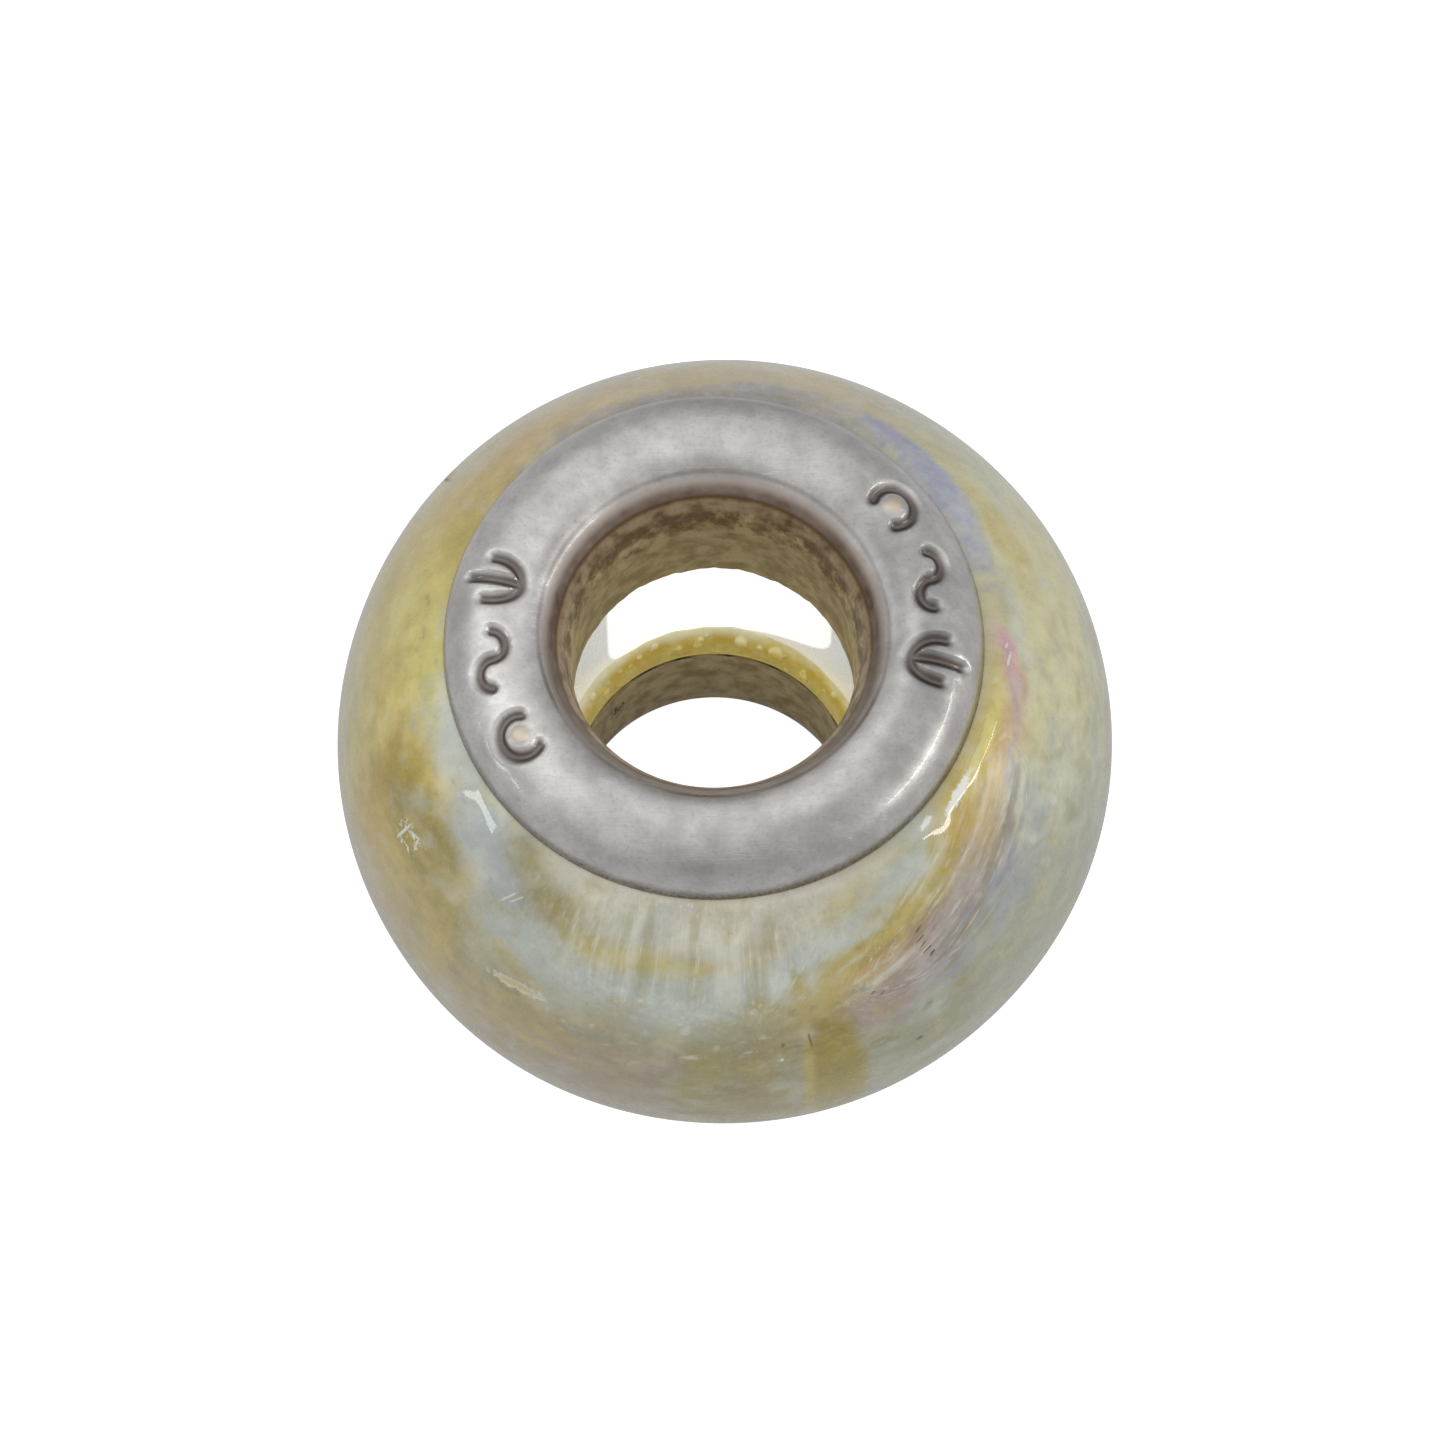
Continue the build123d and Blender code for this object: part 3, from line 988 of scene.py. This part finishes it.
# %% Helpers for materials
def material(name):
    """A material, its tree and its Principled shader, already tied to the output."""
    made = bpy.data.materials.new(name)
    made.use_nodes = True
    tree = made.node_tree
    tree.nodes.clear()
    shader = put(tree, "ShaderNodeBsdfPrincipled")
    put(tree, "ShaderNodeOutputMaterial", shader.outputs[0])
    return made, tree, shader


def settle(shader, **values):
    """Sets or feeds the shader's own sockets, with _ for a space, and says how big the tree is."""
    for label, value in values.items():
        feed(shader.inputs[label.replace("_", " ")], value)
    print(f"{shader.id_data.name}: {len(shader.id_data.nodes)} nodes")


def stored(tree, name, output="Fac"):
    """A value that the points of the mesh keep."""
    return put(tree, "ShaderNodeAttribute", attribute_name=name).outputs[output]


def find_place(tree):
    """The place of a point on the bead."""
    return put(tree, "ShaderNodeGroup", node_tree=finder).outputs


# %% [markdown]
# ## Lustre glass
#
# Over the paint of the points come fine white and dark streaks, grit, the small marks and a patch
# of crumbs, where a knock has crazed the skin. The wall of the hole is plain grey-white glass.

# %% The colour of the glass
lustre, tree, shader = material("lustre_glass")
spot = find_place(tree)
grit = noise(spot["Place"], 10.0, 2.0, 0.7)
strands = noise(stored(tree, "flow", "Vector"), 1.0, 2.0, 0.7)
brushed = stored(tree, "brushed")
colour = stored(tree, "paint", "Color")
colour = blend(fade(strands, 0.5, 0.8, times(brushed, 0.65)), colour, paints["white"])
colour = blend(fade(strands, 0.46, 0.2, times(brushed, 0.2)), colour, paints["moss"])
colour = blend(fade(grit, 0.5, 0.8, 0.16), colour, tint(140, 132, 94), "MULTIPLY")
colour = blend(fade(grit, 0.46, 0.2, 0.18), colour, paints["white"])
ragged = times(minus(grit, 0.5), 1.6)
for *shape, paint, strength in small_marks:
    colour = blend(times(spot_share(spot["Place"], *shape, ragged), strength), colour, paints[paint])
crumbs = times(spot_share(spot["Place"], 207.8, 29, 0.34, 0.3, 0, 0.0), fade(grit, 0.54, 0.62))
colour = blend(crumbs, colour, paints["white"])
in_hole = fade(spot["From hole"], 3.1, 2.9)
colour = blend(in_hole, colour, tint(216, 220, 216))

# %% [markdown]
# Light that enters the glass from outside comes out again in the wall of the hole, which glows
# white behind and greyer to the sides, with round corners between. Following it through the glass
# would take many samples, so a faint emission stands in for it there.
#
# The clear skin over the colour is the coat of the Principled shader: smooth and sharp in its
# reflections, while the layer under it is rough and streaked.

# %% The light in the hole, and the skin of the glass
window_azimuth, window_half = 90.0, 46.0
window_low, window_tall = 5.2, 1.25
aside = calc("DIVIDE", minus(spot["Azimuth"], window_azimuth), window_half)
low_limit = minus(window_low, times(aside, 0.5))
down = calc("MAXIMUM", calc("DIVIDE", minus(low_limit, spot["Height"]), window_tall), 0.0)
corners = plus(calc("POWER", calc("ABSOLUTE", aside), 4.0), times(down, down))
glow = times(in_hole, plus(0.4, fade(corners, 1.12, 0.96, 0.6)))
glow = blend(glow, (0, 0, 0, 1), (1, 1, 1, 1))
under_bump = put(tree, "ShaderNodeBump", 0.4, 0.03 * mm, None, strands).outputs[0]
settle(shader, Base_Color=colour, Roughness=fade(strands, 0.0, 1.2), Normal=under_bump,
       IOR=1.5, Specular_IOR_Level=0.5, Coat_Weight=1.0, Coat_Roughness=0.04, Coat_IOR=1.5,
       Emission_Color=glow, Emission_Strength=0.9)
lustre.cycles.emission_sampling = "NONE"
glass.data.materials.append(lustre)

# %% [markdown]
# ## Silver
#
# Sterling silver that has been worn for years is satin, not mirror bright. It goes dark where a
# cloth never reaches, in the punched grooves, and a dark brown line along the low edge of the
# flange is painted shade where it meets the glass. The masks for that come from the place on the
# bead and from the numbers stored on the points when the marks were punched.

# %% The silver of the dome
silver, tree, shader = material("worn_silver")
spot = find_place(tree)
from_hole = spot["From hole"]
lip_mm = lip_radius / mm
dome_mm = dome_radius / mm
crease_mm = crease_radius / mm
grain = noise(spot["Place"], 14.0, 2.0, 0.6)
cloudy = noise(spot["Place"], 1.5, 4.0, 0.65)
colour = blend(fade(cloudy, 0.3, 0.7), tint(217, 215, 212), tint(191, 188, 185))
colour = blend(fade(grain, 0.5, 0.75, 0.3), colour, tint(160, 150, 144))
# painted reflections: the silver is scaled by the painted reflection tone of each point
colour = vector("SCALE", colour, stored(tree, "painted_reflection_tone"))
colour = blend(fade(stored(tree, "punched"), 0.2, 0.9, 0.85), colour, tint(88, 74, 66))
# painted highlight: the pellets are painted pale and warm over their domes
colour = blend(times(stored(tree, "pellet"), 0.8), colour, tint(226, 208, 178))
# painted shade: a dark brown line along the low edge of the dome, where it meets the glass
contact_shade = fade(from_hole, dome_mm - 0.08, dome_mm - 0.005)
colour = blend(times(contact_shade, plus(0.3, times(grain, 0.8))), colour, tint(92, 70, 50))

# %% [markdown]
# Inside, the colour changes with the place. The fold of the lip is darkened along a thin line, and
# its inner rim has a browner line of tarnish, made darker toward the front with painted shade. The
# lip is pale toward the back of the bead and brown toward its front, painted shade on the side that
# turns away into the hole, so its colour is mixed along Y.

# %% Tarnish and painted shade on the lip
blotches = noise(spot["Place"], 3.0, 2.0, 0.55)
toward_back = put(tree, "ShaderNodeSeparateXYZ", spot["Place"]).outputs["Y"]
colour = blend(near_to(from_hole, crease_mm, 0.07, top=0.38), colour, tint(110, 92, 84))
on_lip = fade(from_hole, crease_mm, lip_mm + 0.1)
# painted shade: the lip is brown toward the front of the bead, where it turns away into the hole
lip_colour_and_shade = blend(fade(toward_back, 1.4, -1.4), tint(190, 175, 165), tint(100, 84, 58))
colour = blend(times(on_lip, 0.8), colour, lip_colour_and_shade)
# tarnish on the inner rim, with painted shade that makes it darker toward the front
rim_tarnish_and_shade = times(near_to(from_hole, lip_mm + 0.02, 0.12), plus(0.35, blotches))
rim_tarnish_and_shade = times(rim_tarnish_and_shade, plus(0.75, fade(toward_back, 2.3, 0.4, 0.35)))

# %% [markdown]
# Down the front tube come brown blotches, tarnish with painted shade under the lip that is darkest
# at the top, with a broken pale strip above them, and then dull khaki.
# The back tube is taupe. Both tubes end in a black edge, and the back one has a dark nick.

# %% Tarnish and painted shade in the tubes
front_side = fade(spot["Height"], 4.0, 6.0)
khaki_wall = blend(fade(blotches, 0.3, 0.7), tint(190, 172, 128), tint(150, 132, 86))
taupe_wall = blend(fade(blotches, 0.3, 0.75), tint(196, 180, 142), tint(148, 128, 88))
wall = blend(front_side, taupe_wall, khaki_wall)
from_top = minus(glass_high.z / mm, spot["Height"])
# painted shade under the lip, mixed with tarnish blotches: the front tube is brown near its top
top_tarnish_and_shade = plus(minus(times(blotches, 1.6), times(from_top, 0.9)), times(grain, 0.7))
wall = blend(times(front_side, fade(top_tarnish_and_shade, 0.45, 1.15, 0.9)), wall, tint(92, 66, 30))
pale_share = times(near_to(from_hole, lip_mm - 0.12, 0.09, 0.03), fade(blotches, 0.75, 0.4, 0.8))
wall = blend(pale_share, wall, tint(180, 158, 128))
from_middle = calc("ABSOLUTE", minus(spot["Height"], middle_height / mm))
from_end = calc("ABSOLUTE", minus(from_middle, (half_height - tube_reach) / mm))
wall = blend(fade(plus(from_end, times(blotches, 0.05)), 0.05, 0.02), wall, tint(60, 48, 30))
wall = blend(fade(grain, 0.5, 0.8, 0.5), wall, tint(120, 104, 70))
nick_place = (-1.99, 1.74, 2.55)
nick_reach = plus(vector("DISTANCE", spot["Place"], nick_place), times(grain, 0.9))
wall = blend(fade(nick_reach, 0.66, 0.5), wall, tint(56, 40, 22))
colour = blend(fade(from_hole, lip_mm + 0.02, lip_mm - 0.04), colour, wall)
colour = blend(rim_tarnish_and_shade, colour, tint(92, 64, 44))

# %% [markdown]
# The outside of the dome is satin, so the silver under it is rough, and a thin coat keeps the one
# sharp line of the lamp that polished high spots still show. Tarnish is no metal and takes no
# polish, so the lip and the tubes lose most of both. Hairline scratches go into the bump.

# %% How rough the silver is
stretched = put(tree, "ShaderNodeMapping", spot["Place"], None, (0.5, 0.3, 0.8), (0.5, 9.0, 3.0)).outputs[0]
scratches = near_to(noise(stretched, 1.0, 2.0, 0.6), 0.5, 0.02)
height = minus(times(cloudy, 0.6), times(scratches, 0.12))
bumps = put(tree, "ShaderNodeBump", 0.35, 0.03 * mm, None, height).outputs[0]
rough = plus(plus(0.28, times(cloudy, 0.14)), times(on_lip, 0.2))
settle(shader, Base_Color=colour, Roughness=rough, Normal=bumps,
       Metallic=minus(1.0, times(on_lip, 0.8)), Coat_Weight=minus(0.6, times(on_lip, 0.5)),
       Coat_Roughness=0.06, Coat_IOR=1.5)
for core in (front_core, back_core):
    core.data.materials.append(silver)

# %% [markdown]
# ## Old glue
#
# The adhesive is glossy, ochre and slightly see-through, so light glows in its thin upper edge.
# A faint emission of its own colour does that without the noise of true refraction, and the thin
# upper edge is painted pale as well, a painted glow. The rims of the bubbles are painted pale too,
# as painted glints.

# %% The glue material
old_glue, tree, shader = material("yellowed_glue")
spot = find_place(tree)
patches = noise(spot["Place"], 2.4, 3.0, 0.6)
colour = blend(fade(patches, 0.35, 0.65), tint(196, 168, 66), tint(214, 196, 112))
above_tube = minus(spot["Height"], glue_low.z / mm)
# painted glow: the thin upper edge of the glue is painted pale
thin = fade(plus(above_tube, times(patches, 0.2)), 0.58, 0.88)
colour = blend(thin, colour, tint(222, 220, 196))
colour = blend(fade(above_tube, 0.1, 0.03), colour, tint(232, 214, 110))
# painted glints: the rims of the bubbles are painted pale
colour = blend(fade(stored(tree, "bubble_rim_glint"), 0.4, 1.0, 0.4), colour, tint(240, 234, 196))
settle(shader, Base_Color=colour, Roughness=0.1, IOR=1.5,
       Emission_Color=tint(204, 184, 90), Emission_Strength=0.14)
old_glue.cycles.emission_sampling = "NONE"
band.data.materials.append(old_glue)

# %% [markdown]
# ## What each piece stands for
#
# The bead has no moving parts, so every piece rides on the root body, and each replaces the solid
# of the same job.

# %% Tie the pieces to the frame
for piece, node, slot in ((glass, "glass_bead", "glass"), (front_core, "core_front", "silver"),
                          (back_core, "core_back", "silver"), (band, "glue_band", "old_glue")):
    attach(piece, "root")
    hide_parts(node)
    print(f"{piece.name} stands for {node}")

# %% [markdown]
# ## Floor
#
# A light table: the floor is white and glows a little, so the hole of the bead stays bright and the
# shadow stays faint. What the camera sees glows more than what lights the bead.

# %% Lay the floor
floor_half = 1.5
floor_corners = [(x * floor_half, y * floor_half, 0) for x, y in ((-1, -1), (1, -1), (1, 1), (-1, 1))]
floor_mesh = bpy.data.meshes.new("floor")
floor_mesh.from_pydata(floor_corners, [], [(0, 1, 2, 3)])
floor = bpy.data.objects.new("floor", floor_mesh)
bpy.context.scene.collection.objects.link(floor)
paper, tree, shader = material("white_paper")
seen = put(tree, "ShaderNodeLightPath").outputs["Is Camera Ray"]
settle(shader, Base_Color=(0.5, 0.5, 0.5, 1), Roughness=0.9, Emission_Color=(1, 1, 1, 1),
       Emission_Strength=plus(times(seen, 0.8), 0.14))
floor_mesh.materials.append(paper)

# %% [markdown]
# ## Sky
#
# The sky is brightest overhead and falls off to the sides, which gives the silver dome its slow
# change from light to dark. Three soft patches of it are darker or lighter than the rest, as the
# walls and windows of a room are.

# %% Light the scene from the sky
world = bpy.data.worlds.new("soft_sky")
bpy.context.scene.world = world
world.use_nodes = True
sky = world.node_tree
sky.nodes.clear()
direction = put(sky, "ShaderNodeTexCoord").outputs["Generated"]
upward = put(sky, "ShaderNodeSeparateXYZ", direction).outputs["Z"]
ramp = blend(fade(upward, 0.2, 1.1), (0.52, 0.52, 0.53, 1), (1.02, 1.02, 1.02, 1))
# azimuth, elevation, reach in degrees, how much of the patch shows, its own brightness
sky_patches = ((90, 38, 50, 0.4, 0.4), (-88, 42, 34, 0.65, 0.28), (165, 55, 32, 0.5, 1.15))
for azimuth, elevation, reach, share, light in sky_patches:
    middle = direction_to(azimuth, elevation)
    patch = fade(vector("DOT_PRODUCT", direction, middle), math.cos(math.radians(reach)), 1.0, share)
    ramp = blend(patch, ramp, (light, light, light, 1))
background = put(sky, "ShaderNodeBackground", ramp, 1.0)
put(sky, "ShaderNodeOutputWorld", background.outputs[0])
print(f"sky with {len(sky_patches)} patches")

# %% [markdown]
# ## Lamps
#
# Two thin strip lamps make the sharp lines in the glass and on the dome: a strong warm one on the
# right and a weak cool one on the left. An area lamp spreads its power over its size, so the power
# is worked out from how bright the strip should look.

# %% Hang the strip lamps
lamp_distance = 0.4


def strip_lamp(name, start, end, width, radiance, colour):
    """A long thin lamp that runs from one direction to another, both (azimuth, elevation)."""
    ends = [direction_to(*place) * lamp_distance for place in (start, end)]
    lamp = bpy.data.lights.new(name, "AREA")
    lamp.shape = "RECTANGLE"
    lamp.size = (ends[1] - ends[0]).length
    lamp.size_y = width
    lamp.energy = radiance * math.pi * lamp.size * lamp.size_y
    lamp.color = colour
    holder = bpy.data.objects.new(name, lamp)
    along = (ends[1] - ends[0]).normalized()
    side = (ends[0] + ends[1]).normalized().cross(along).normalized()
    holder.matrix_world = Matrix((along, side, along.cross(side))).transposed().to_4x4()
    holder.location = bead_middle + (ends[0] + ends[1]) / 2
    bpy.context.scene.collection.objects.link(holder)
    print(f"{name}: {lamp.size:.3f} m long, {lamp.energy:.3f} W")


strip_lamp("right_strip", (-31, 24), (7, 21), 0.018, 11.0, (1.0, 0.98, 0.94))
strip_lamp("left_strip", (189.7, 13.9), (202.5, 15.4), 0.024, 6.0, (0.9, 0.95, 1.0))

# %% [markdown]
# ## Camera
#
# The camera looks down at the bead at 68 degrees from 122 mm away, which sets how wide the far end
# of the hole looks against the near one. The long lens then fills the frame. A small step in the
# picture's own plane puts the bead where it belongs in the frame.

# %% Place the camera
camera_distance = 122 * mm
camera_elevation = 68.3
step_right = -0.036 * mm
step_up = 0.327 * mm
camera_data = bpy.data.cameras.new("camera")
camera_data.sensor_width = 36
camera_data.lens = 168.1
camera_data.clip_start = 0.01
camera = bpy.data.objects.new("camera", camera_data)
bpy.context.scene.collection.objects.link(camera)
bpy.context.scene.camera = camera
toward_camera = direction_to(-90, camera_elevation)
camera.rotation_euler = toward_camera.to_track_quat("Z", "Y").to_euler()
picture_right = Vector((1, 0, 0))
picture_up = toward_camera.cross(picture_right)
camera_step = picture_right * step_right + picture_up * step_up
camera.location = bead_middle + toward_camera * camera_distance + camera_step
bpy.context.scene.view_settings.view_transform = "Standard"
print(f"camera {camera.location.length / mm:.1f} mm from the foot of the bead")
